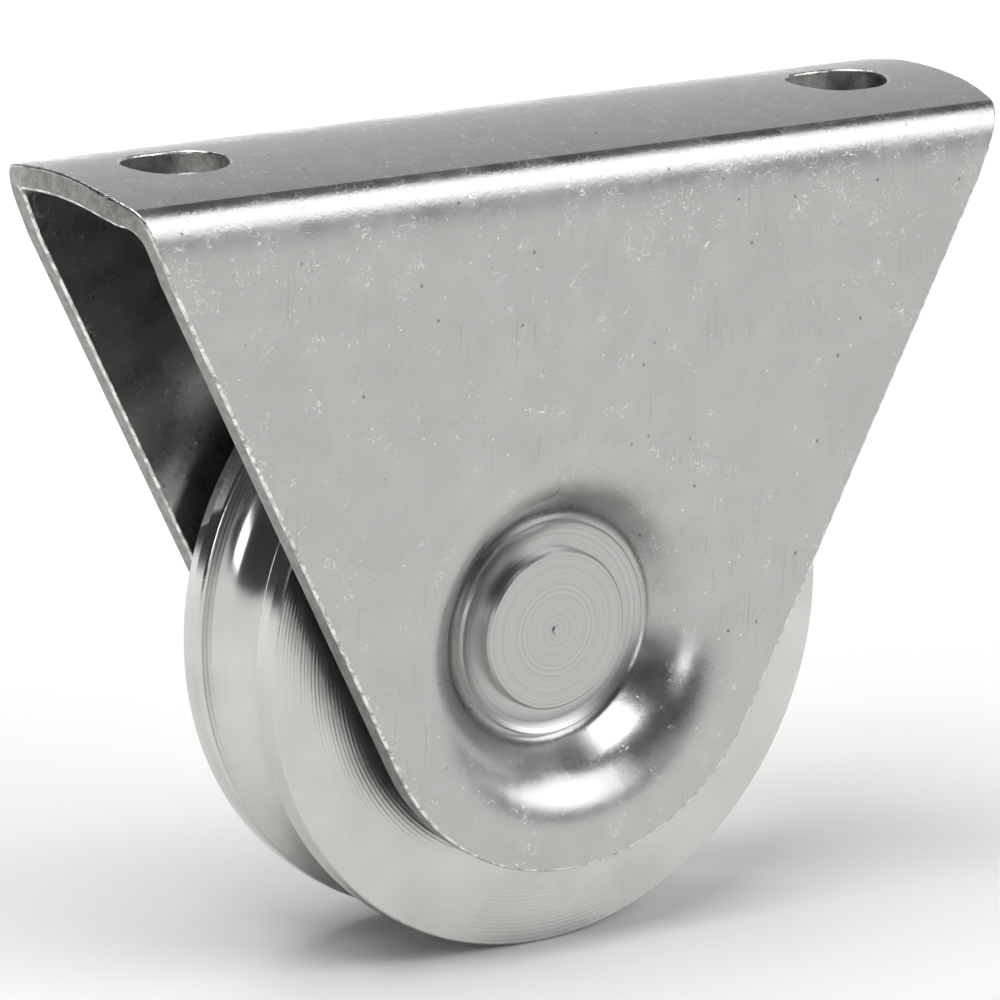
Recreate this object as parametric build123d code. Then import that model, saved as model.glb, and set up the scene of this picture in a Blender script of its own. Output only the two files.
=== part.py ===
"""Gate wheel: a grooved steel wheel on a sealed ball bearing, held between the
two cheeks of a pressed steel bracket that bolts under a sliding gate.

Frame: origin at the centre of the bracket's flat top face, X along the gate,
Y along the axle (the pin's turned head faces -Y), Z up.  Millimetres.
"""
import os
from math import cos, pi, radians, sin, sqrt, tan

from build123d import *

# Bracket: one U-shaped pressing.
PLATE_LENGTH = 126.0       # top plate, end to end
BRACKET_WIDTH = 32.5       # over both cheeks
SHEET = 3.0                # sheet thickness
BEND_RADIUS = 6.5          # outside of the two long bends
EDGE_ANGLE = 27.2          # cheek edges, measured from upright, degrees
STRAIGHT_END = 5.3         # half the straight stretch of each end of the blank
CURVED_END = 20.5          # distance round the blank at which its cheek edge runs straight
NEUTRAL_FACTOR = 0.45      # neutral fibre's place in the sheet, from the outside
AXLE_DROP = 61.0           # from the top face down to the axle's centre line

# Fixing slots in the top plate, for M10 bolts.
SLOT_SPACING = 96.0
SLOT_LENGTH = 13.0
SLOT_WIDTH = 11.0

# Dish pressed into each cheek, down to the bearing's inner ring.
DISH_RADIUS = 24.6         # where the flat cheek starts to bend in
DISH_ROLL = 9.5            # bend radius at the dish's mouth, on the outside
DISH_ANGLE = 52.0          # slope of the dish's wall, degrees
DISH_FLOOR = 8.9           # outside of the dish's floor, from the wheel's mid plane
FLOOR_CORNER = 1.5         # inner corner between wall and floor
FLOOR_BEND = 4.5           # the same corner on the wheel's side

# Wheel, turned from solid.
WHEEL_RADIUS = 40.0
WHEEL_WIDTH = 20.0
RIM_RELIEF = 0.15          # the outer strip of each rim is turned down this much at its edge
RELIEF_WIDTH = 1.7
FACE_EDGE = 0.2            # broken edge between rim and face
RAIL_RADIUS = 6.25         # groove for a 12 mm round rail
GROOVE_DEPTH = 5.5
GROOVE_EDGE = 0.5
SHOULDER_RADIUS = 18.4     # step that the bearing is pushed against
SHOULDER_WIDTH = 2.0
SNAP_WIRE = 1.8            # round-wire ring that holds the bearing in

# Sealed deep-groove ball bearing, 17 x 40 x 12.
BEARING_BORE = 17.0
BEARING_OUTSIDE = 40.0
BEARING_WIDTH = 12.0
PITCH_RADIUS = 14.25
BALL_DIAMETER = 6.747
BALL_COUNT = 8
RACE_RADIUS = 3.55
INNER_SHOULDER = 12.25
OUTER_SHOULDER = 16.3
RING_CHAMFER = 0.6
RUNNING_GAP = 0.12         # between each ball and its tracks

# Stamped ribbon cage.
CAGE_SHEET = 0.6
CAGE_WIDTH = 2.5
CAGE_GAP = 0.15
CAGE_RIVET = 1.2
CAGE_RIVET_HEAD = 2.0
CAGE_RIVET_HEAD_HEIGHT = 0.35

# Rubber seals clipped into the outer ring.
SEAL_OUTER = 17.1
SEAL_THICKNESS = 0.8
SEAL_RECESS = 0.35
SEAL_LIP_GAP = 0.2

# Axle pin and the washer under its riveted end.
PIN_FACE = 11.2            # turned end face, from the wheel's mid plane
BOSS_RADIUS = 10.0
FLANGE_RADIUS = 13.4
FLANGE_LIP = 10.3          # flange's raised lip, from the wheel's mid plane
FLANGE_COVE = 9.6          # bottom of the cove between boss and lip
PIN_CHAMFER = 0.35
NIB_RADIUS = 0.6
NIB_HEIGHT = 0.25
SPIGOT_RADIUS = 7.0
SPIGOT_START = 8.7
WASHER_THICKNESS = 1.6
RIVET_HEAD_RADIUS = 9.0

half_width = BRACKET_WIDTH / 2
half_wheel = WHEEL_WIDTH / 2
half_bearing = BEARING_WIDTH / 2
ball_radius = BALL_DIAMETER / 2
edge_slope = tan(radians(EDGE_ANGLE))
bend_start = half_width - BEND_RADIUS
neutral_radius = BEND_RADIUS - NEUTRAL_FACTOR * SHEET
bend_end = bend_start + neutral_radius * pi / 2

AXLE = Axis((0, 0, -AXLE_DROP), (0, 1, 0))
# Half sections of turned parts: local x is the radius, local y runs along the axle.
TURNING = Plane(origin=(0, 0, -AXLE_DROP), x_dir=(1, 0, 0), z_dir=(0, 0, 1))


def turned(outline):
    """Solid of revolution about the axle from a closed (radius, y) outline."""
    return revolve(TURNING * make_face(Polyline(*outline, close=True)), AXLE, 360)


def on_axle(y=0.0):
    """Plane square to the axle at y, with its local z along +Y."""
    return Plane(origin=(0, y, -AXLE_DROP), x_dir=(1, 0, 0), z_dir=(0, 1, 0))


def disc(radius, y_low, y_high):
    """Round disc on the axle between two stations."""
    thickness = y_high - y_low
    return on_axle(y_low) * Cylinder(radius, thickness, align=(Align.CENTER, Align.CENTER, Align.MIN))


def ball_places():
    """Ball centres, evenly round the pitch circle."""
    for index in range(BALL_COUNT):
        angle = 2 * pi * (index + 0.5) / BALL_COUNT
        yield PITCH_RADIUS * sin(angle), -AXLE_DROP + PITCH_RADIUS * cos(angle)


# Bracket ------------------------------------------------------------------

def end_half_length(station):
    """Half length of the blank at a distance from its centre line, round the bend."""
    if station <= STRAIGHT_END:
        return PLATE_LENGTH / 2
    curve = min(station, CURVED_END) - STRAIGHT_END
    drop = edge_slope * curve ** 2 / (2 * (CURVED_END - STRAIGHT_END))
    return PLATE_LENGTH / 2 - drop - edge_slope * max(station - CURVED_END, 0.0)


def u_section():
    """The bent sheet as a U, longer than the finished bracket."""
    depth = AXLE_DROP + 40.0
    outer = Box(PLATE_LENGTH, BRACKET_WIDTH, depth, align=(Align.CENTER, Align.CENTER, Align.MAX))
    inner_box = Box(
        PLATE_LENGTH, BRACKET_WIDTH - 2 * SHEET, depth, align=(Align.CENTER, Align.CENTER, Align.MAX)
    )
    outer = fillet(outer.edges().filter_by(Axis.X).group_by(Axis.Z)[-1], BEND_RADIUS)
    inner = fillet(inner_box.edges().filter_by(Axis.X).group_by(Axis.Z)[-1], BEND_RADIUS - SHEET)
    return outer - Pos(0, 0, -SHEET) * inner


def cheek_outline():
    """Side view of the bracket: straight tapering edges round a tip centred on the axle."""
    angle = radians(EDGE_ANGLE)
    corner_z = -BEND_RADIUS - (CURVED_END - bend_end)
    corner_x = end_half_length(CURVED_END)
    tip_radius = corner_x * cos(angle) - (corner_z + AXLE_DROP) * sin(angle)
    tangent_x = tip_radius * cos(angle)
    tangent_z = -AXLE_DROP - tip_radius * sin(angle)
    middle = (bend_end + CURVED_END) / 2
    shoulder_x = end_half_length(bend_end)
    middle_x = end_half_length(middle)
    middle_z = -BEND_RADIUS - (middle - bend_end)
    end_x = PLATE_LENGTH / 2
    side = Polyline((0, 0), (end_x, 0), (end_x, -BEND_RADIUS), (shoulder_x, -BEND_RADIUS))
    sweep_in = ThreePointArc((shoulder_x, -BEND_RADIUS), (middle_x, middle_z), (corner_x, corner_z))
    edge = Line((corner_x, corner_z), (tangent_x, tangent_z))
    tip = ThreePointArc(
        (tangent_x, tangent_z),
        (tip_radius * sin(radians(45)), -AXLE_DROP - tip_radius * cos(radians(45))),
        (0, -AXLE_DROP - tip_radius),
    )
    half = make_face([side, sweep_in, edge, tip, Line((0, -AXLE_DROP - tip_radius), (0, 0))])
    return half + mirror(half, Plane.YZ)


def end_trim():
    """Waste beyond the blank's curved end, wrapped round one bend at +X, +Y."""
    reach = PLATE_LENGTH / 2 + 2.0
    inside = BEND_RADIUS - SHEET - 1.0
    outside = BEND_RADIUS + 1.0
    sections = []
    for station in (STRAIGHT_END, (STRAIGHT_END + bend_start) / 2):
        sections.append((station, station, 0.0))
    for step in range(6):
        turn = radians(18 * step)
        sections.append((bend_start + neutral_radius * turn, bend_start, turn))
    wires = []
    for station, centre_y, turn in sections:
        near = end_half_length(station)
        corners = []
        for x, radius in ((near, inside), (reach, inside), (reach, outside), (near, outside)):
            corners.append((x, centre_y + radius * sin(turn), -BEND_RADIUS + radius * cos(turn)))
        wires.append(Wire.make_polygon(corners, close=True))
    return Solid.make_loft(wires)


def dish():
    """Dish in the +Y cheek with its floor and axle hole, turned about the axle."""
    slope = tan(radians(DISH_ANGLE))
    wall_shift = SHEET / sin(radians(DISH_ANGLE))
    inner_face = half_width - SHEET
    mouth = DISH_RADIUS - DISH_ROLL * tan(radians(DISH_ANGLE) / 2)

    def wall(y):
        return mouth - (half_width - y) / slope

    join = DISH_RADIUS + 0.5
    hole = BEARING_BORE / 2
    outline = Polyline(
        (hole, DISH_FLOOR),
        (wall(DISH_FLOOR), DISH_FLOOR),
        (mouth, half_width),
        (join, half_width),
        (join, inner_face),
        (wall(inner_face) + wall_shift, inner_face),
        (wall(half_bearing) + wall_shift, half_bearing),
        (hole, half_bearing),
        close=True,
    )
    face = make_face(outline)

    def corner(x, y):
        return face.vertices().sort_by_distance((x, y, 0))[0]

    face = fillet(corner(mouth, half_width), DISH_ROLL)
    face = fillet(corner(wall(inner_face) + wall_shift, inner_face), DISH_ROLL - SHEET)
    face = fillet(corner(wall(DISH_FLOOR), DISH_FLOOR), FLOOR_CORNER)
    face = fillet(corner(wall(half_bearing) + wall_shift, half_bearing), FLOOR_BEND)
    return revolve(TURNING * face, AXLE, 360)


def bracket():
    """Pressed bracket: U-section, trimmed cheeks, slots and two dishes."""
    side = Plane.XZ * cheek_outline()
    body = u_section() & extrude(side, BRACKET_WIDTH, both=True)
    trim = end_trim()
    trims = [trim, mirror(trim, Plane.XZ), mirror(trim, Plane.YZ), mirror(mirror(trim, Plane.XZ), Plane.YZ)]
    for piece in trims:
        body -= piece
    body -= disc(DISH_RADIUS + 0.5, -half_width - 1, half_width + 1)
    rear_dish = dish()
    body = body + rear_dish + mirror(rear_dish, Plane.XZ)
    for x in (-SLOT_SPACING / 2, SLOT_SPACING / 2):
        slot = Pos(x, 0, -SHEET - 1) * SlotOverall(SLOT_LENGTH, SLOT_WIDTH)
        body -= extrude(slot, SHEET + 2)
    return body


# Wheel --------------------------------------------------------------------

def wheel():
    """Turned wheel with a round rail groove, bearing seat, shoulder and snap-ring groove."""
    seat = BEARING_OUTSIDE / 2
    groove_centre = WHEEL_RADIUS - GROOVE_DEPTH + RAIL_RADIUS
    groove_half = sqrt(RAIL_RADIUS ** 2 - (groove_centre - WHEEL_RADIUS) ** 2)
    relieved = WHEEL_RADIUS - RIM_RELIEF
    mouth = seat + 0.5
    outline = [
        (mouth, -half_wheel),
        (relieved - FACE_EDGE, -half_wheel),
        (relieved, -half_wheel + FACE_EDGE),
        (WHEEL_RADIUS, -half_wheel + RELIEF_WIDTH),
        (WHEEL_RADIUS, half_wheel - RELIEF_WIDTH),
        (relieved, half_wheel - FACE_EDGE),
        (relieved - FACE_EDGE, half_wheel),
        (mouth, half_wheel),
        (seat, half_wheel - 0.5),
        (seat, half_bearing + SHOULDER_WIDTH),
        (SHOULDER_RADIUS, half_bearing + SHOULDER_WIDTH),
        (SHOULDER_RADIUS, half_bearing),
        (seat, half_bearing),
        (seat, -half_wheel + 0.5),
    ]
    body = turned(outline)
    wire_groove = on_axle(-half_bearing - SNAP_WIRE / 2) * Torus(seat, SNAP_WIRE / 2)
    rail = on_axle(0) * Torus(groove_centre, RAIL_RADIUS)
    body = body - rail - wire_groove
    lips = [
        edge for edge in body.edges().filter_by(GeomType.CIRCLE)
        if abs(edge.radius - WHEEL_RADIUS) < 0.01 and abs(abs(edge.center().Y) - groove_half) < 0.01
    ]
    return fillet(lips, GROOVE_EDGE)


def snap_ring():
    """Round-wire ring, open by a short gap, sprung into the wheel's bore."""
    seat = BEARING_OUTSIDE / 2
    y = -half_bearing - SNAP_WIRE / 2
    ring = on_axle(y) * Torus(seat, SNAP_WIRE / 2)
    gap = Pos(0, y, -AXLE_DROP - seat) * Box(7.0, SNAP_WIRE * 2, SNAP_WIRE * 3)
    return ring - gap


# Bearing ------------------------------------------------------------------

def outer_ring():
    """Outer ring with its ball track and a step for each seal."""
    outside = BEARING_OUTSIDE / 2
    seal_in = half_bearing - SEAL_RECESS - SEAL_THICKNESS
    mouth = SEAL_OUTER - 0.3
    outline = [
        (OUTER_SHOULDER, -seal_in), (SEAL_OUTER, -seal_in), (SEAL_OUTER, -half_bearing + SEAL_RECESS),
        (mouth, -half_bearing + SEAL_RECESS), (mouth, -half_bearing),
        (outside - RING_CHAMFER, -half_bearing), (outside, -half_bearing + RING_CHAMFER),
        (outside, half_bearing - RING_CHAMFER), (outside - RING_CHAMFER, half_bearing),
        (mouth, half_bearing), (mouth, half_bearing - SEAL_RECESS),
        (SEAL_OUTER, half_bearing - SEAL_RECESS), (SEAL_OUTER, seal_in), (OUTER_SHOULDER, seal_in),
    ]
    track = PITCH_RADIUS + ball_radius + RUNNING_GAP - RACE_RADIUS
    return turned(outline) - on_axle(0) * Torus(track, RACE_RADIUS)


def inner_ring():
    """Inner ring, clamped on the pin between the two dishes."""
    bore = BEARING_BORE / 2
    outline = [
        (bore + RING_CHAMFER, -half_bearing), (INNER_SHOULDER, -half_bearing),
        (INNER_SHOULDER, half_bearing), (bore + RING_CHAMFER, half_bearing),
        (bore, half_bearing - RING_CHAMFER), (bore, -half_bearing + RING_CHAMFER),
    ]
    track = PITCH_RADIUS - ball_radius - RUNNING_GAP + RACE_RADIUS
    return turned(outline) - on_axle(0) * Torus(track, RACE_RADIUS)


def ball(x, z):
    """One bearing ball."""
    return Pos(x, 0, z) * Sphere(ball_radius)


def cage_half(side):
    """One stamped ribbon half, with a pocket round each ball; side is -1 or +1 along Y."""
    inside = PITCH_RADIUS - CAGE_WIDTH / 2
    outside = PITCH_RADIUS + CAGE_WIDTH / 2
    reach = ball_radius + CAGE_GAP + CAGE_SHEET + 0.5
    low, high = sorted((0.0, side * reach))
    flat_low, flat_high = sorted((0.0, side * CAGE_SHEET))
    band = disc(outside, low, high) - disc(inside, low, high)
    flat = disc(outside, flat_low, flat_high) - disc(inside, flat_low, flat_high)
    ribbon = flat
    for x, z in ball_places():
        ribbon += band & (Pos(x, 0, z) * Sphere(ball_radius + CAGE_GAP + CAGE_SHEET))
    for x, z in ball_places():
        ribbon -= Pos(x, 0, z) * Sphere(ball_radius + CAGE_GAP)
    for place in rivet_places():
        ribbon -= place * Cylinder(CAGE_RIVET / 2, 4 * CAGE_SHEET)
    return ribbon


def rivet_places():
    """Planes on the cage's webs, half way between the balls."""
    for index in range(BALL_COUNT):
        angle = 2 * pi * index / BALL_COUNT
        centre = (PITCH_RADIUS * sin(angle), 0, -AXLE_DROP + PITCH_RADIUS * cos(angle))
        yield Plane(origin=centre, x_dir=(1, 0, 0), z_dir=(0, 1, 0))


def cage_rivets():
    """The rivets that close the two cage halves, as separate solids in one node."""
    head_at = CAGE_SHEET + CAGE_RIVET_HEAD_HEIGHT / 2
    rivets = []
    for place in rivet_places():
        shank = Cylinder(CAGE_RIVET / 2, 2 * CAGE_SHEET)
        head = Cylinder(CAGE_RIVET_HEAD / 2, CAGE_RIVET_HEAD_HEIGHT)
        rivets.append(place * (shank + Pos(0, 0, head_at) * head + Pos(0, 0, -head_at) * head))
    return Compound(children=[rivet.solid() for rivet in rivets])


def seal(side):
    """Rubber seal ring with a thin lip towards the inner ring; side is -1 or +1 along Y."""
    lip = INNER_SHOULDER + SEAL_LIP_GAP
    back = half_bearing - SEAL_RECESS - SEAL_THICKNESS
    front = half_bearing - SEAL_RECESS
    web = back + 0.35
    outline = [
        (lip, web - 0.25), (lip + 0.6, back), (SEAL_OUTER, back), (SEAL_OUTER, front),
        (SEAL_OUTER - 0.9, front), (SEAL_OUTER - 1.2, web + 0.15), (lip + 1.0, web + 0.15), (lip, web + 0.1),
    ]
    return turned([(radius, side * y) for radius, y in outline])


# Axle ---------------------------------------------------------------------

def axle_pin():
    """Pin with a turned boss and coved flange at the front and a riveted spigot at the rear."""
    shank = BEARING_BORE / 2
    rivet_seat = DISH_FLOOR + WASHER_THICKNESS
    front = Polyline(
        (0, -PIN_FACE), (BOSS_RADIUS - PIN_CHAMFER, -PIN_FACE), (BOSS_RADIUS, -PIN_FACE + PIN_CHAMFER),
        (BOSS_RADIUS, -FLANGE_COVE),
    )
    cove = ThreePointArc(
        (BOSS_RADIUS, -FLANGE_COVE),
        ((BOSS_RADIUS + FLANGE_RADIUS) / 2, -FLANGE_COVE - 0.12),
        (FLANGE_RADIUS - 0.3, -FLANGE_LIP),
    )
    rear = Polyline(
        (FLANGE_RADIUS - 0.3, -FLANGE_LIP), (FLANGE_RADIUS, -FLANGE_LIP + 0.3),
        (FLANGE_RADIUS, -DISH_FLOOR), (shank, -DISH_FLOOR), (shank, SPIGOT_START),
        (SPIGOT_RADIUS, SPIGOT_START), (SPIGOT_RADIUS, rivet_seat), (RIVET_HEAD_RADIUS, rivet_seat),
    )
    rise = PIN_FACE - rivet_seat
    dome_radius = (RIVET_HEAD_RADIUS ** 2 + rise ** 2) / (2 * rise)
    half_way = RIVET_HEAD_RADIUS / 2
    half_rise = PIN_FACE - dome_radius + sqrt(dome_radius ** 2 - half_way ** 2)
    dome = ThreePointArc((RIVET_HEAD_RADIUS, rivet_seat), (half_way, half_rise), (0, PIN_FACE))
    face = make_face([front, cove, rear, dome, Line((0, PIN_FACE), (0, -PIN_FACE))])
    body = revolve(TURNING * face, AXLE, 360)
    nib = on_axle(-PIN_FACE) * Sphere(NIB_RADIUS)
    return body + (nib & disc(NIB_RADIUS, -PIN_FACE - NIB_HEIGHT, -PIN_FACE + NIB_HEIGHT))


def rivet_washer():
    """Washer between the rear dish and the riveted end of the pin."""
    back = DISH_FLOOR + WASHER_THICKNESS
    outline = [
        (SPIGOT_RADIUS, DISH_FLOOR), (FLANGE_RADIUS, DISH_FLOOR), (FLANGE_RADIUS, back - 0.3),
        (FLANGE_RADIUS - 0.3, back), (SPIGOT_RADIUS, back),
    ]
    return turned(outline)


# Files --------------------------------------------------------------------

def write(name, shape):
    export_step(shape, f"parts/{name}.step")
    print(name, round(shape.volume), "mm3")


os.makedirs("parts", exist_ok=True)
write("bracket", bracket())
write("axle_pin", axle_pin())
write("rivet_washer", rivet_washer())
write("wheel", wheel())
write("snap_ring", snap_ring())
write("bearing_outer_ring", outer_ring())
write("bearing_inner_ring", inner_ring())
for number, (ball_x, ball_z) in enumerate(ball_places(), start=1):
    write(f"bearing_ball_{number}", ball(ball_x, ball_z))
write("cage_front", cage_half(-1))
write("cage_rear", cage_half(1))
write("cage_rivets", cage_rivets())
write("seal_front", seal(-1))
write("seal_rear", seal(1))
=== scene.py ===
import math

import bmesh
import bpy
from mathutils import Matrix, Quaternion, Vector


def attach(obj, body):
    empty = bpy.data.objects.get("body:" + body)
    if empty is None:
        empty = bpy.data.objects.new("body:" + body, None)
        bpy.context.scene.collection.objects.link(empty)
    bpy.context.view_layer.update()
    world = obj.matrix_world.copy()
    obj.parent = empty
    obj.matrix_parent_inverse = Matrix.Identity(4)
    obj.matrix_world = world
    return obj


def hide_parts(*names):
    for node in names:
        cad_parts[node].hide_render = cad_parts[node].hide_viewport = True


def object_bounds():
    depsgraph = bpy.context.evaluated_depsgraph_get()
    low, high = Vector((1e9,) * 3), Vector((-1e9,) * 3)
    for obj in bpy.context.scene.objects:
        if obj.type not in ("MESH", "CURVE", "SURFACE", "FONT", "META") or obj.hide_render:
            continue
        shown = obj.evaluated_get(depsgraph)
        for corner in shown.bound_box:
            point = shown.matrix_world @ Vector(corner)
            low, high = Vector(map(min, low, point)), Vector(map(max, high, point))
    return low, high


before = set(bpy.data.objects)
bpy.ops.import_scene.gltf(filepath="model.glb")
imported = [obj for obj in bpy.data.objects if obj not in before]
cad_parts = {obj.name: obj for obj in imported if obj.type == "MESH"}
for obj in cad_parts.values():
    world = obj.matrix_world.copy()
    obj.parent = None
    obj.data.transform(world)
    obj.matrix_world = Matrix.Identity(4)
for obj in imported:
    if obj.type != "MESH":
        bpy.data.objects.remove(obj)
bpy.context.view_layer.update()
scene = bpy.context.scene

# --- Bracket ---------------------------------------------------------------
# The bracket is one pressing of zinc-plated steel sheet: top plate, two long
# bends, two tapering cheeks and a dish pressed into each.  Its blank is cut in a
# press, and tumbling in the plating drum then wears every cut edge round.
MM = 0.001
SHEET = 3 * MM
HALF_LENGTH = 63 * MM
STRAIGHT_END = 5.3 * MM  # half the straight stretch of each end of the top plate
SLOT_SPACING, SLOT_STRAIGHT = 96 * MM, 2 * MM
AXLE_DROP = 61.0 * MM
DISH_OUTSIDE = 26 * MM
EDGE_ROUND = 0.35 * MM
BEND_CENTRE = Vector((0, 9.75, -6.5)) * MM  # the bends' axis
BEND_RADIUS = 6.5 * MM
# The press leaves the top plate slightly crowned, down to a soft crease; from there
# the bend tightens and runs out into the cheek.
CREASE_ALONG = 13.7 * MM  # along the sheet from the middle of the top plate
CREASE = Vector((0, 13.6, -1.6)) * MM
CREASE_TILT = math.radians(27)
RUN_OUT = Vector((0, 16.25, -11.5)) * MM
RUN_OUT_ALONG = BEND_CENTRE.y + BEND_RADIUS * math.pi / 2 + BEND_CENTRE.z - RUN_OUT.z
CREASE_REACH, RUN_OUT_REACH = 2.9 * MM, 5.0 * MM  # how far each end's direction carries
# The mesh: the turn at which an edge is cut or folded, and at which faces are one.
SHARP, FOLDED, FLAT = (math.radians(turn) for turn in (32, 150, 0.2))
MERGE = 0.002 * MM


def linear(code):
    """An sRGB hex colour as linear RGBA."""
    parts = [int(code[i:i + 2], 16) / 255 for i in (1, 3, 5)]
    return [c / 12.92 if c <= 0.04045 else ((c + 0.055) / 1.055) ** 2.4 for c in parts] + [1.0]


def add(tree, kind, settings=None, **inputs):
    """Adds a node: settings are its properties, inputs its sockets' values or links."""
    made = tree.nodes.new("ShaderNode" + kind)
    for name, value in (settings or {}).items():
        if name == "ramp":
            while len(made.color_ramp.elements) < len(value):
                made.color_ramp.elements.new(0.5)
            for stop, (place, colour) in zip(made.color_ramp.elements, value):
                stop.position, stop.color = place, colour
        else:
            setattr(made, name, value)
    for name, value in inputs.items():
        key = int(name[1:]) if name[0] == "_" else name.replace("_", " ")
        socket = made.inputs[key]
        if isinstance(value, bpy.types.NodeSocket):
            tree.links.new(value, socket)
        else:
            socket.default_value = value
    return made


def new_material(name):
    """A material with its Principled shader; returns material, node tree and shader."""
    made = bpy.data.materials.new(name)
    made.use_nodes = True
    return made, made.node_tree, made.node_tree.nodes["Principled BSDF"]


def millimetres(tree, raised=0.0):
    """A point's place on its piece in mm, from the frame's origin or a point below it."""
    place = add(tree, "TexCoord").outputs["Object"]
    if raised:
        place = add(tree, "Mapping", Vector=place, Location=(0, 0, raised)).outputs[0]
    return add(tree, "VectorMath", {"operation": "SCALE"}, _0=place, Scale=1 / MM).outputs[0]


# Zinc-plated cold-rolled sheet, satin: the drum leaves a soft cloudy tone, a fine
# orange-peel grain and small bright nicks where parts knocked against each other.
sheet, tree, shader = new_material("zinc_plated_sheet_satin")
mm = millimetres(tree)
clouds = add(tree, "TexNoise", Vector=mm, Scale=0.16, Detail=5.0, Roughness=0.6)
tone = add(tree, "ValToRGB", {"ramp": [(0.3, linear("#b7b7b6")), (0.5, linear("#bcbcbb")),
                                       (0.7, linear("#c2c2c1"))]}, Fac=clouds.outputs["Fac"])
# Nicks are thin curved scratches, 0.1 mm wide: the level line of a noise, kept
# only in scattered patches.
winding = add(tree, "TexNoise", Vector=mm, Scale=0.55, Detail=2.0, Roughness=0.5, Distortion=1.5)
level = add(tree, "Math", {"operation": "SUBTRACT"}, _0=winding.outputs["Fac"], _1=0.5)
line = add(tree, "Math", {"operation": "ABSOLUTE"}, _0=level.outputs[0])
thin = add(tree, "MapRange", Value=line.outputs[0], _1=0.004, _2=0.012, _3=1.0, _4=0.0)
patches = add(tree, "TexNoise", Vector=mm, Scale=0.33, Detail=2.0)
# The bends stand proud in the drum, so most of the nicks are on them.
parts = add(tree, "SeparateXYZ", Vector=mm)
drop = parts.outputs["Z"]
proud = add(tree, "MapRange", Value=drop, _1=-22.0, _2=-7.0, _4=1.0).outputs[0]
worn = add(tree, "Math", {"operation": "MULTIPLY_ADD"}, _0=proud, _1=0.11,
           _2=patches.outputs["Fac"])
# The distance in from the cheek's slanted edges, in mm: they are knocked most.  They
# lean 27 degrees from upright: that turn's cosine and sine, and the edges' distance
# from the origin in mm.
EDGE_ACROSS, EDGE_DOWN, EDGE_REACH = 0.889, 0.457, 58.98
aside = add(tree, "Math", {"operation": "ABSOLUTE"}, _0=parts.outputs["X"])
from_side = add(tree, "Math", {"operation": "MULTIPLY_ADD"}, _0=aside.outputs[0],
                _1=-EDGE_ACROSS, _2=EDGE_REACH)
inset = add(tree, "Math", {"operation": "MULTIPLY_ADD"}, _0=drop, _1=EDGE_DOWN,
            _2=from_side.outputs[0])
near_edge = add(tree, "MapRange", Value=inset.outputs[0], _1=1.0, _2=7.0, _3=0.1, _4=0.0)
knocked = add(tree, "Math", {"operation": "ADD"}, _0=worn.outputs[0], _1=near_edge.outputs[0])
patch = add(tree, "MapRange", Value=knocked.outputs[0], _1=0.60, _2=0.66)
wander = add(tree, "Math", {"operation": "MULTIPLY_ADD"}, _0=winding.outputs["Fac"], _1=-2.6,
             _2=inset.outputs[0])
rubbed = add(tree, "MapRange", Value=wander.outputs[0], _1=-0.8, _2=-0.3, _3=0.8, _4=0.0)
scratches = add(tree, "Math", {"operation": "MULTIPLY"}, _0=thin.outputs[0], _1=patch.outputs[0])
dots = add(tree, "TexVoronoi", {"distance": "EUCLIDEAN"}, Vector=mm, Scale=0.42)
dot = add(tree, "MapRange", Value=dots.outputs["Distance"], _1=0.03, _2=0.08, _3=1.0, _4=0.0)
marked = add(tree, "Math", {"operation": "MAXIMUM"}, _0=scratches.outputs[0], _1=dot.outputs[0])
nicks = add(tree, "Math", {"operation": "MAXIMUM"}, _0=marked.outputs[0], _1=rubbed.outputs[0])
# Scuffs are bundles of short straight rubs, 0.3 mm apart, a little off upright.
turned = add(tree, "Mapping", Vector=mm, Rotation=(0, math.radians(8), 0), Scale=(3.3, 1.0, 0.10))
rubs = add(tree, "TexNoise", Vector=turned.outputs[0], Scale=1.0, Detail=2.0)
rub = add(tree, "MapRange", Value=rubs.outputs["Fac"], _1=0.58, _2=0.72)
bundles = add(tree, "TexNoise", Vector=mm, Scale=0.09, Detail=2.0)
bundle = add(tree, "MapRange", Value=bundles.outputs["Fac"], _1=0.52, _2=0.66, _4=0.55)
scuffs = add(tree, "Math", {"operation": "MULTIPLY"}, _0=rub.outputs[0], _1=bundle.outputs[0])
scuffed = add(tree, "Mix", {"data_type": "RGBA"}, Factor=scuffs.outputs[0],
              _6=tone.outputs["Color"], _7=linear("#9d9d9c"))
# Pits are specks of dark chromate left in pores, under half a millimetre across.
pores = add(tree, "TexVoronoi", {"distance": "EUCLIDEAN"}, Vector=mm, Scale=0.23)
pore = add(tree, "MapRange", Value=pores.outputs["Distance"], _1=0.03, _2=0.07, _3=0.8, _4=0.0)
pitted = add(tree, "Mix", {"data_type": "RGBA"}, Factor=pore.outputs[0], _6=scuffed.outputs[2],
             _7=linear("#70706f"))
nicked = add(tree, "Mix", {"data_type": "RGBA"}, Factor=nicks.outputs[0], _6=pitted.outputs[2],
             _7=linear("#ededec"))
tree.links.new(nicked.outputs[2], shader.inputs["Base Color"])
grain = add(tree, "TexNoise", Vector=mm, Scale=1.6, Detail=4.0, Roughness=0.65)
rough = add(tree, "MapRange", Value=clouds.outputs["Fac"], _1=0.3, _2=0.7, _3=0.24, _4=0.34)
tree.links.new(rough.outputs[0], shader.inputs["Roughness"])
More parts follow.
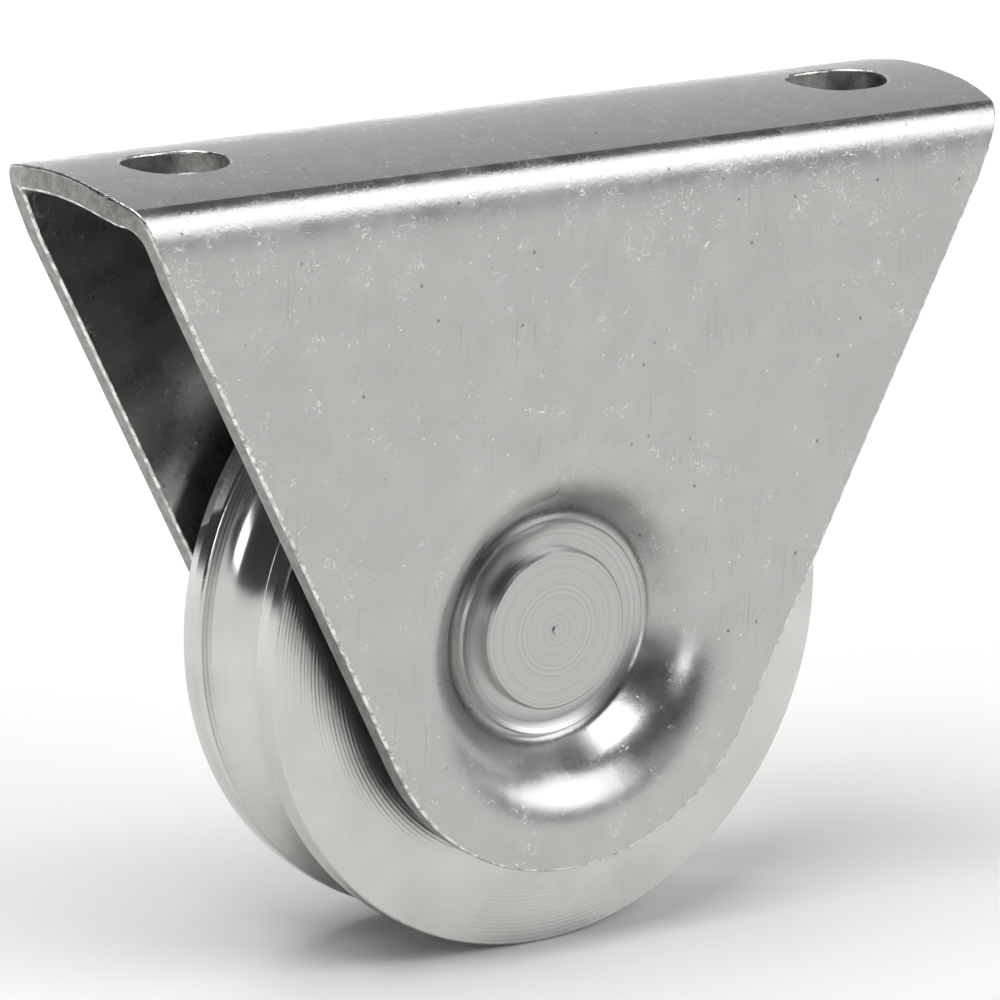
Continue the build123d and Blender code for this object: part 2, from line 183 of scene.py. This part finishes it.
# Bending stretches the sheet, which roughens it to a fine orange peel.
on_bend = add(tree, "MapRange", Value=drop, _1=-9.0, _2=-4.0, _3=0.8, _4=2.6).outputs[0]
below_top = add(tree, "MapRange", Value=drop, _1=-1.9, _2=-1.2, _3=1.0, _4=0.3).outputs[0]
peel = add(tree, "Math", {"operation": "MULTIPLY"}, _0=on_bend, _1=below_top).outputs[0]
peeled = add(tree, "Math", {"operation": "MULTIPLY"}, _0=grain.outputs["Fac"], _1=peel)
height = add(tree, "Math", {"operation": "MULTIPLY_ADD"}, _0=nicks.outputs[0], _1=0.9,
             _2=peeled.outputs[0])
bump = add(tree, "Bump", Strength=0.25, Distance=0.06 * MM, Height=height.outputs[0])
tree.links.new(bump.outputs[0], shader.inputs["Normal"])
shader.inputs["Metallic"].default_value = 1.0

# The same plating on the rounded rims of the cut edges: rubbed bright and lumpy.
rim, tree, shader = new_material("zinc_plated_rim_rubbed")
mm = millimetres(tree)
lumps = add(tree, "TexNoise", Vector=mm, Scale=0.8, Detail=5.0, Roughness=0.7)
tone = add(tree, "ValToRGB", {"ramp": [(0.40, linear("#a2a2a0")), (0.5, linear("#d6d6d4")),
                                       (0.58, linear("#f6f6f4"))]}, Fac=lumps.outputs["Fac"])
tree.links.new(tone.outputs["Color"], shader.inputs["Base Color"])
bump = add(tree, "Bump", Strength=0.6, Distance=0.2 * MM, Height=lumps.outputs["Fac"])
tree.links.new(bump.outputs[0], shader.inputs["Normal"])
shader.inputs["Metallic"].default_value = 1.0
shader.inputs["Roughness"].default_value = 0.26

# The sheared face between the rims: torn steel under thin plating, duller.
sheared, tree, shader = new_material("zinc_plated_sheared_edge")
mm = millimetres(tree)
tear = add(tree, "TexNoise", Vector=mm, Scale=0.7, Detail=6.0, Roughness=0.75)
tone = add(tree, "ValToRGB", {"ramp": [(0.35, linear("#7d7d7b")), (0.65, linear("#a9a9a7"))]},
           Fac=tear.outputs["Fac"])
tree.links.new(tone.outputs["Color"], shader.inputs["Base Color"])
bump = add(tree, "Bump", Strength=0.5, Distance=0.15 * MM, Height=tear.outputs["Fac"])
tree.links.new(bump.outputs[0], shader.inputs["Normal"])
shader.inputs["Metallic"].default_value = 1.0
shader.inputs["Roughness"].default_value = 0.42


PLAIN, RIM, SHEARED = range(3)  # the bracket's material slots
SQUARE = 0.9999  # a normal's part along an axis, for a face square to it


def is_sheared(face):
    """True for a face across the sheet's thickness: it stands square to the sheet."""
    centre, normal = face.calc_center_median(), face.normal
    if math.hypot(centre.x, centre.z + AXLE_DROP) < DISH_OUTSIDE:
        return False
    if centre.z < BEND_CENTRE.z:
        return abs(normal.y) < 0.2
    return abs(normal.x) > 0.3 or (abs(centre.y) < BEND_CENTRE.y and abs(normal.z) < 0.3)


shape = bmesh.new()
shape.from_mesh(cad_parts["bracket"].data)
bmesh.ops.remove_doubles(shape, verts=shape.verts, dist=MERGE)
# Where each end's straight stretch meets its curve, the mesh has hair-thin slivers.
KNOT_LENGTH, KNOT_WIDTH, KNOT_DEPTH = 0.1 * MM, 0.15 * MM, 1.05 * SHEET
knots = [v for v in shape.verts if abs(abs(v.co.x) - HALF_LENGTH) < KNOT_LENGTH
         and abs(abs(v.co.y) - STRAIGHT_END) < KNOT_WIDTH and v.co.z > -KNOT_DEPTH]
for knot in knots:
    knot.co = (math.copysign(HALF_LENGTH, knot.co.x), math.copysign(STRAIGHT_END, knot.co.y),
               0 if knot.co.z > -SHEET / 2 else -SHEET)
bmesh.ops.remove_doubles(shape, verts=knots, dist=MERGE)
bmesh.ops.dissolve_degenerate(shape, dist=0.01 * MM, edges=shape.edges)
bmesh.ops.dissolve_limit(shape, angle_limit=FLAT, verts=shape.verts, edges=shape.edges)


def cut_across(spot, across, faces):
    """Adds edges where a plane crosses the faces, so that they can be curved."""
    edges = dict.fromkeys(edge for face in faces for edge in face.edges)
    points = dict.fromkeys(vert for face in faces for vert in face.verts)
    bmesh.ops.bisect_plane(shape, geom=[*points, *edges, *faces], dist=MERGE, plane_co=spot,
                           plane_no=across)


CROWN_CUTS, RUN_OUT_CUTS = range(-8, 9, 2), (8, 9, 10, 11)  # mm from the middle, and down
for offset in CROWN_CUTS:
    cut_across((0, offset * MM, 0), (0, 1, 0), shape.faces[:])
for down in RUN_OUT_CUTS:
    cut_across((0, 0, -down * MM), (0, 0, 1), shape.faces[:])
crease_turn = (CREASE_ALONG - BEND_CENTRE.y) / BEND_RADIUS
for side in (-1, 1):
    bend_faces = [f for f in shape.faces if f.calc_center_median().y * side > BEND_CENTRE.y
                  and f.calc_center_median().z > BEND_CENTRE.z]
    cut_across((0, side * BEND_CENTRE.y, BEND_CENTRE.z),
               (0, side * math.cos(crease_turn), -math.sin(crease_turn)), bend_faces)
sharp_edges = [e for e in shape.edges if SHARP < e.calc_face_angle(0) < FOLDED]
rounded = bmesh.ops.bevel(shape, geom=sharp_edges, affect="EDGES", offset=EDGE_ROUND, segments=3,
                          profile=0.5, material=-1, clamp_overlap=False)
round_faces = set(rounded["faces"])
for face in shape.faces:
    face.smooth = True
    face.material_index = RIM if face in round_faces else SHEARED if is_sheared(face) else PLAIN
pressing_mesh = bpy.data.meshes.new("bracket_pressing")
shape.to_mesh(pressing_mesh)
shape.free()
pressing_mesh.attributes.remove(pressing_mesh.attributes["custom_normal"])
pressing = bpy.data.objects.new("bracket_pressing", pressing_mesh)
scene.collection.objects.link(pressing)
for finish in (sheet, rim, sheared):
    pressing_mesh.materials.append(finish)
# Shading is smooth over the rims and dishes, exact on the flats, bends and slots, and
# follows the crown and the crease.
evened = pressing.modifiers.new("even_normals", "WEIGHTED_NORMAL")
evened.mode, evened.weight, evened.keep_sharp = "FACE_AREA", 95, False
bpy.context.view_layer.objects.active = pressing
bpy.ops.object.modifier_apply(modifier=evened.name)
corners = [Vector(c.vector) for c in pressing_mesh.corner_normals]


def square_section(spot):
    """Where a point is on the square-bent sheet: along it from its middle, and its turn."""
    out = Vector((0, abs(spot.y) - BEND_CENTRE.y, spot.z - BEND_CENTRE.z))
    if out.y <= 0 and spot.z > RUN_OUT.z:
        return abs(spot.y), 0.0
    if out.z <= 0:
        return BEND_CENTRE.y + BEND_RADIUS * math.pi / 2 - out.z, math.pi / 2
    turn = math.atan2(out.y, out.z)
    return BEND_CENTRE.y + BEND_RADIUS * turn, turn


def pressed_section(along, past_crease):
    """The sheet's outside as pressed: its place across and up, and its tilt."""
    if not past_crease:
        share = along / CREASE_ALONG
        tilt = math.atan(-2 * CREASE.z * share / CREASE.y)
        return along * CREASE.y / CREASE_ALONG, CREASE.z * share ** 2, tilt
    share = min((along - CREASE_ALONG) / (RUN_OUT_ALONG - CREASE_ALONG), 1.0)
    first = CREASE + CREASE_REACH * Vector((0, math.cos(CREASE_TILT), -math.sin(CREASE_TILT)))
    last = RUN_OUT + Vector((0, 0, RUN_OUT_REACH))
    rest = 1 - share
    spot = rest ** 3 * CREASE + 3 * rest ** 2 * share * first + 3 * rest * share ** 2 * last \
        + share ** 3 * RUN_OUT
    heading = rest ** 2 * (first - CREASE) + 2 * rest * share * (last - first) \
        + share ** 2 * (RUN_OUT - last)
    return spot.y, spot.z, math.atan2(-heading.z, heading.y)


for face in pressing_mesh.polygons:
    straight = max(abs(face.normal.x), abs(face.normal.y), abs(face.normal.z)) > SQUARE
    is_flat = straight and (face.material_index == PLAIN or abs(face.normal.x) > SQUARE)
    past_crease = square_section(face.center)[0] > CREASE_ALONG
    for corner, vertex in zip(face.loop_indices, face.vertices):
        spot = pressing_mesh.vertices[vertex].co
        side = 1 if spot.y > 0 else -1
        out = Vector((0, abs(spot.y) - BEND_CENTRE.y, spot.z - BEND_CENTRE.z))
        slot_end = abs(spot.x) - SLOT_SPACING / 2
        if is_flat or corners[corner].length < 0.5:
            corners[corner] = face.normal.copy()
        elif (face.material_index == SHEARED and abs(spot.y) < BEND_CENTRE.y
              and abs(slot_end) < BEND_CENTRE.y):
            reach = slot_end - max(-SLOT_STRAIGHT / 2, min(SLOT_STRAIGHT / 2, slot_end))
            corners[corner] = -Vector((math.copysign(1, spot.x) * reach, spot.y, 0)).normalized()
        elif face.material_index == PLAIN and out.y > -EDGE_ROUND and out.z > -EDGE_ROUND:
            out = Vector((0, max(out.y, 0) * side, max(out.z, 0)))
            corners[corner] = out.normalized() * (1 if out.dot(face.normal) > 0 else -1)
        along, turn = square_section(spot)
        if spot.z > RUN_OUT.z and along < RUN_OUT_ALONG and face.normal.y * side > -0.5:
            tilt = pressed_section(along, past_crease)[2] - turn
            old = corners[corner]
            outward = old.y * side * math.cos(tilt) + old.z * math.sin(tilt)
            upward = old.z * math.cos(tilt) - old.y * side * math.sin(tilt)
            corners[corner] = Vector((old.x, side * outward, upward))
for vertex in pressing_mesh.vertices:
    along, turn = square_section(vertex.co)
    if vertex.co.z > RUN_OUT.z and along < RUN_OUT_ALONG:
        side = 1 if vertex.co.y > 0 else -1
        outside = BEND_CENTRE + BEND_RADIUS * Vector((0, math.sin(turn), math.cos(turn)))
        square = Vector((0, along, 0)) if turn == 0 else outside if turn < math.pi / 2 \
            else Vector((0, outside.y, vertex.co.z))
        across, up, _ = pressed_section(along, along > CREASE_ALONG)
        vertex.co += Vector((0, side * (across - square.y), up - square.z))
pressing_mesh.normals_split_custom_set(corners)
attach(pressing, "frame")
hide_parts("bracket")

# --- Wheel -----------------------------------------------------------------
# The wheel is turned from a steel blank and zinc plated.  Facing leaves fine rings
# on its sides, and a form tool leaves the rail groove smooth.
FACING_PITCH = 0.5  # mm; the real feed of about 0.3 is drawn coarser to show


def radius_from_axle(tree, mm):
    """The distance from the axle's line, in mm."""
    flat = add(tree, "VectorMath", {"operation": "MULTIPLY"}, _0=mm, _1=(1, 0, 1)).outputs[0]
    return add(tree, "VectorMath", {"operation": "LENGTH"}, _0=flat).outputs["Value"]


# Turned and plated: bright concentric rings on the faces, a smoother sheen elsewhere.
wheel_steel, tree, shader = new_material("steel_turned_zinc_plated")
mm = millimetres(tree, AXLE_DROP)
radius = radius_from_axle(tree, mm)
along = add(tree, "SeparateXYZ", Vector=add(tree, "TexCoord").outputs["Normal"]).outputs["Y"]
facing = add(tree, "Math", {"operation": "ABSOLUTE"}, _0=along).outputs[0]
on_face = add(tree, "MapRange", Value=facing, _1=0.9, _2=0.99).outputs[0]
rings = add(tree, "TexNoise", {"noise_dimensions": "1D"}, W=radius, Scale=1 / FACING_PITCH,
            Detail=1.0)
phase = add(tree, "Math", {"operation": "MULTIPLY"}, _0=radius, _1=2 * math.pi / FACING_PITCH)
wave = add(tree, "Math", {"operation": "SINE"}, _0=phase.outputs[0])
marks = add(tree, "Math", {"operation": "MULTIPLY_ADD"}, _0=wave.outputs[0], _1=0.35,
            _2=rings.outputs["Fac"]).outputs[0]
marks_on_face = add(tree, "Math", {"operation": "MULTIPLY"}, _0=marks, _1=on_face).outputs[0]
lines_place = add(tree, "VectorMath", {"operation": "MULTIPLY"}, _0=mm, _1=(0.05, 3.0, 0.05))
lines = add(tree, "TexNoise", Vector=lines_place.outputs[0], Scale=1.0, Detail=2.0)
height = add(tree, "Math", {"operation": "MULTIPLY_ADD"}, _0=lines.outputs["Fac"], _1=0.15,
             _2=marks_on_face)
bump = add(tree, "Bump", Strength=0.22, Distance=0.05 * MM, Height=height.outputs[0])
tree.links.new(bump.outputs[0], shader.inputs["Normal"])
clouds = add(tree, "TexNoise", Vector=mm, Scale=0.12, Detail=3.0)
tone = add(tree, "ValToRGB", {"ramp": [(0.3, linear("#c9c9c8")), (0.7, linear("#d5d5d4"))]},
           Fac=clouds.outputs["Fac"])
tree.links.new(tone.outputs["Color"], shader.inputs["Base Color"])
rough = add(tree, "MapRange", Value=on_face, _3=0.14, _4=0.27)
tree.links.new(rough.outputs[0], shader.inputs["Roughness"])
shader.inputs["Metallic"].default_value = 1.0


def finish_nodes(finish, *names):
    """Gives CAD nodes a finish in place of their plain one."""
    for name in names:
        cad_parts[name].data.materials.clear()
        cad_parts[name].data.materials.append(finish)


finish_nodes(wheel_steel, "wheel")

# --- Axle pin and rivet washer ----------------------------------------------
# The pin is turned bright steel, zinc plated: a boss, a coved flange that covers
# the hole in the dish and a small pip left by parting off.  Its far end is
# riveted over the washer.
LATHE_PITCH = 0.35  # mm; drawn a little coarser than the real marks to show
pin_steel, tree, shader = new_material("steel_pin_turned_plated")
mm = millimetres(tree, AXLE_DROP)
radius = radius_from_axle(tree, mm)
rings = add(tree, "TexNoise", {"noise_dimensions": "1D"}, W=radius, Scale=1 / LATHE_PITCH,
            Detail=2.0, Roughness=0.6)
scuffs = add(tree, "TexNoise", Vector=mm, Scale=0.7, Detail=5.0, Roughness=0.7)
winding = add(tree, "TexNoise", Vector=mm, Scale=0.35, Detail=3.0, Roughness=0.5, Distortion=1.0)
level = add(tree, "Math", {"operation": "SUBTRACT"}, _0=winding.outputs["Fac"], _1=0.5)
line = add(tree, "Math", {"operation": "ABSOLUTE"}, _0=level.outputs[0])
scratch = add(tree, "MapRange", Value=line.outputs[0], _1=0.002, _2=0.008, _3=1.0, _4=0.0)
ringed = add(tree, "Math", {"operation": "MULTIPLY_ADD"}, _0=scuffs.outputs["Fac"], _1=0.2,
             _2=rings.outputs["Fac"])
height = add(tree, "Math", {"operation": "MULTIPLY_ADD"}, _0=scratch.outputs[0], _1=0.4,
             _2=ringed.outputs[0])
bump = add(tree, "Bump", Strength=0.12, Distance=0.05 * MM, Height=height.outputs[0])
tree.links.new(bump.outputs[0], shader.inputs["Normal"])
tone = add(tree, "ValToRGB", {"ramp": [(0.4, linear("#b5b5b4")), (0.62, linear("#bcbcbb")),
                                       (0.8, linear("#c5c5c4"))]}, Fac=ringed.outputs[0])
tree.links.new(tone.outputs["Color"], shader.inputs["Base Color"])
shader.inputs["Metallic"].default_value = 1.0
shader.inputs["Roughness"].default_value = 0.3
finish_nodes(pin_steel, "axle_pin", "rivet_washer")

# --- Bearing rings and balls --------------------------------------------------
# A sealed deep-groove ball bearing is pressed into the wheel's bore: two rings of
# hardened chromium steel, ground and honed, and eight lapped balls.
GRIND_PITCH = 0.6  # mm; grinding lines are drawn coarser than real to show
ring_steel, tree, shader = new_material("steel_bearing_ground")
mm = millimetres(tree)
run = add(tree, "VectorMath", {"operation": "MULTIPLY"}, _0=mm, _1=(0.1, 1 / GRIND_PITCH, 0.1))
lines = add(tree, "TexNoise", Vector=run.outputs[0], Scale=1.0, Detail=4.0)
tone = add(tree, "ValToRGB", {"ramp": [(0.3, linear("#c4c4c3")), (0.7, linear("#d6d6d5"))]},
           Fac=lines.outputs["Fac"])
tree.links.new(tone.outputs["Color"], shader.inputs["Base Color"])
bump = add(tree, "Bump", Strength=0.15, Distance=0.02 * MM, Height=lines.outputs["Fac"])
tree.links.new(bump.outputs[0], shader.inputs["Normal"])
rough = add(tree, "MapRange", Value=lines.outputs["Fac"], _3=0.16, _4=0.28)
tree.links.new(rough.outputs[0], shader.inputs["Roughness"])
shader.inputs["Metallic"].default_value = 1.0

# Lapped almost to a mirror; a thin film leaves the shine a little uneven.
ball_steel, tree, shader = new_material("steel_ball_lapped")
mm = millimetres(tree)
film = add(tree, "TexNoise", Vector=mm, Scale=0.5, Detail=3.0)
rough = add(tree, "MapRange", Value=film.outputs["Fac"], _3=0.05, _4=0.14)
tree.links.new(rough.outputs[0], shader.inputs["Roughness"])
tone = add(tree, "ValToRGB", {"ramp": [(0.35, linear("#cfcfce")), (0.65, linear("#dbdbda"))]},
           Fac=film.outputs["Fac"])
tree.links.new(tone.outputs["Color"], shader.inputs["Base Color"])
shader.inputs["Metallic"].default_value = 1.0

BALL_COUNT = 8
finish_nodes(ring_steel, "bearing_outer_ring", "bearing_inner_ring")
finish_nodes(ball_steel, *(f"bearing_ball_{index + 1}" for index in range(BALL_COUNT)))

# --- Cage ---------------------------------------------------------------------
# Two ribbons stamped from thin cold-rolled steel, wrapped round the balls and
# riveted together: matt from tumbling, with a little oil.
cage_steel, tree, shader = new_material("steel_cage_stamped")
mm = millimetres(tree)
skin = add(tree, "TexNoise", Vector=mm, Scale=1.3, Detail=5.0, Roughness=0.65)
tone = add(tree, "ValToRGB", {"ramp": [(0.35, linear("#9c9b98")), (0.65, linear("#b6b5b2"))]},
           Fac=skin.outputs["Fac"])
tree.links.new(tone.outputs["Color"], shader.inputs["Base Color"])
bump = add(tree, "Bump", Strength=0.3, Distance=0.03 * MM, Height=skin.outputs["Fac"])
tree.links.new(bump.outputs[0], shader.inputs["Normal"])
shader.inputs["Metallic"].default_value = 1.0
shader.inputs["Roughness"].default_value = 0.38
finish_nodes(cage_steel, "cage_front", "cage_rear", "cage_rivets")

# --- Seals --------------------------------------------------------------------
# Moulded nitrile rubber rings clipped into the outer ring: black, faintly
# mottled, with the soft sheen that a new seal has.
rubber, tree, shader = new_material("rubber_nitrile_moulded")
mm = millimetres(tree)
bloom = add(tree, "TexNoise", Vector=mm, Scale=0.8, Detail=4.0, Roughness=0.6)
tone = add(tree, "ValToRGB", {"ramp": [(0.35, linear("#161616")), (0.7, linear("#242423"))]},
           Fac=bloom.outputs["Fac"])
tree.links.new(tone.outputs["Color"], shader.inputs["Base Color"])
rough = add(tree, "MapRange", Value=bloom.outputs["Fac"], _3=0.42, _4=0.6)
tree.links.new(rough.outputs[0], shader.inputs["Roughness"])
bump = add(tree, "Bump", Strength=0.2, Distance=0.03 * MM, Height=bloom.outputs["Fac"])
tree.links.new(bump.outputs[0], shader.inputs["Normal"])
shader.inputs["IOR"].default_value = 1.52
finish_nodes(rubber, "seal_front", "seal_rear")

# --- Snap ring ----------------------------------------------------------------
# Round spring-steel wire, phosphated dark grey, sprung into its groove in the
# bore in front of the bearing.
spring, tree, shader = new_material("steel_spring_phosphated")
mm = millimetres(tree)
crystals = add(tree, "TexNoise", Vector=mm, Scale=1.8, Detail=5.0, Roughness=0.7)
tone = add(tree, "ValToRGB", {"ramp": [(0.35, linear("#3c3d3d")), (0.7, linear("#5c5d5c"))]},
           Fac=crystals.outputs["Fac"])
tree.links.new(tone.outputs["Color"], shader.inputs["Base Color"])
bump = add(tree, "Bump", Strength=0.3, Distance=0.03 * MM, Height=crystals.outputs["Fac"])
tree.links.new(bump.outputs[0], shader.inputs["Normal"])
shader.inputs["Metallic"].default_value = 1.0
shader.inputs["Roughness"].default_value = 0.5
finish_nodes(spring, "snap_ring")

# --- Floor, light and camera -------------------------------------------------
# A wide matt sheet of pale card under the wheel.
FLOOR_SIZE = 16.0
bpy.ops.mesh.primitive_plane_add(size=FLOOR_SIZE, location=(0, 0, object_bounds()[0].z))
floor = bpy.context.object
floor.name = "floor"
card, tree, shader = new_material("card_pale_matt")
shader.inputs["Base Color"].default_value = linear("#f6f6f4")
shader.inputs["Roughness"].default_value = 0.9
floor.data.materials.append(card)

# Soft studio light: a box high on the right that draws the streak along the bend, one
# overhead for the card, one low on the left for the space between the cheeks, and one
# that lights the card behind.  The room is dim, lighter low down on the right, so that
# bent metal shows its shape.
AIM = Vector((-7.7, -9.6, -44.0)) * MM
BOX_DISTANCE = 1.6


def soft_box(name, spot, size, power, spread, target=None):
    """A rectangular lamp; without a target it points straight down."""
    lamp = bpy.data.objects.new(name, bpy.data.lights.new(name, "AREA"))
    lamp.data.shape, lamp.data.energy, lamp.data.spread = "RECTANGLE", power, spread
    lamp.data.size, lamp.data.size_y = size
    lamp.location = spot
    if target is not None:
        lamp.rotation_euler = (target - lamp.location).to_track_quat("-Z", "Y").to_euler()
    scene.collection.objects.link(lamp)


soft_box("right_box", AIM + BOX_DISTANCE * Vector((0.55, -0.63, 0.55)), (1.3, 1.15), 10.5,
         math.pi, AIM)
soft_box("overhead_box", (-0.55, -0.15, 1.7), (1.4, 1.2), 27.0, math.pi, AIM)
soft_box("left_box", AIM + BOX_DISTANCE * Vector((-0.66, -0.74, 0.12)), (0.5, 0.3), 1.6,
         math.pi, AIM)
soft_box("backdrop_box", (0.9, 1.5, 1.3), (2.4, 1.4), 40.0, math.radians(85))


def grey(value):
    """A neutral ramp colour."""
    return (value, value, value, 1.0)


world = bpy.data.worlds.new("studio")
scene.world = world
world.use_nodes = True
tree = world.node_tree
direction = add(tree, "SeparateXYZ", Vector=add(tree, "TexCoord").outputs["Generated"])
up = direction.outputs["Z"]
back_right = add(tree, "ValToRGB", {"ramp": [(0.0, grey(0.9)), (0.2, grey(0.62)),
                                             (0.58, grey(0.58)), (0.70, grey(0.09))]}, Fac=up)
front_right = add(tree, "ValToRGB", {"ramp": [(0.0, grey(0.42)), (0.3, grey(0.34)),
                                              (0.75, grey(0.08))]}, Fac=up)
behind = add(tree, "MapRange", Value=direction.outputs["Y"], _1=-0.1, _2=0.3).outputs[0]
right = add(tree, "MapRange", Value=direction.outputs["X"], _1=-0.25, _2=0.25).outputs[0]
right_side = add(tree, "Mix", {"data_type": "RGBA"}, Factor=behind,
                 _6=front_right.outputs["Color"], _7=back_right.outputs["Color"])
room = add(tree, "Mix", {"data_type": "RGBA"}, Factor=right, _6=grey(0.05),
           _7=right_side.outputs[2])
tree.links.new(room.outputs[2], tree.nodes["Background"].inputs["Color"])
tree.nodes["Background"].inputs["Strength"].default_value = 1.0

CAMERA_AZIMUTH, CAMERA_ELEVATION, CAMERA_ROLL = (math.radians(a) for a in (-35.0, 15.6, 1.43))
CAMERA_DISTANCE = 805.6 * MM
CAMERA_LENS = 242.9
back = Vector((math.sin(CAMERA_AZIMUTH) * math.cos(CAMERA_ELEVATION),
               -math.cos(CAMERA_AZIMUTH) * math.cos(CAMERA_ELEVATION), math.sin(CAMERA_ELEVATION)))
camera = bpy.data.objects.new("camera", bpy.data.cameras.new("camera"))
camera.data.lens = CAMERA_LENS
camera.location = AIM + back * CAMERA_DISTANCE
camera.rotation_mode = "QUATERNION"
camera.rotation_quaternion = (-back).to_track_quat("-Z", "Y") @ Quaternion((0, 0, 1), CAMERA_ROLL)
scene.collection.objects.link(camera)
scene.camera = camera
scene.view_settings.view_transform = "Standard"
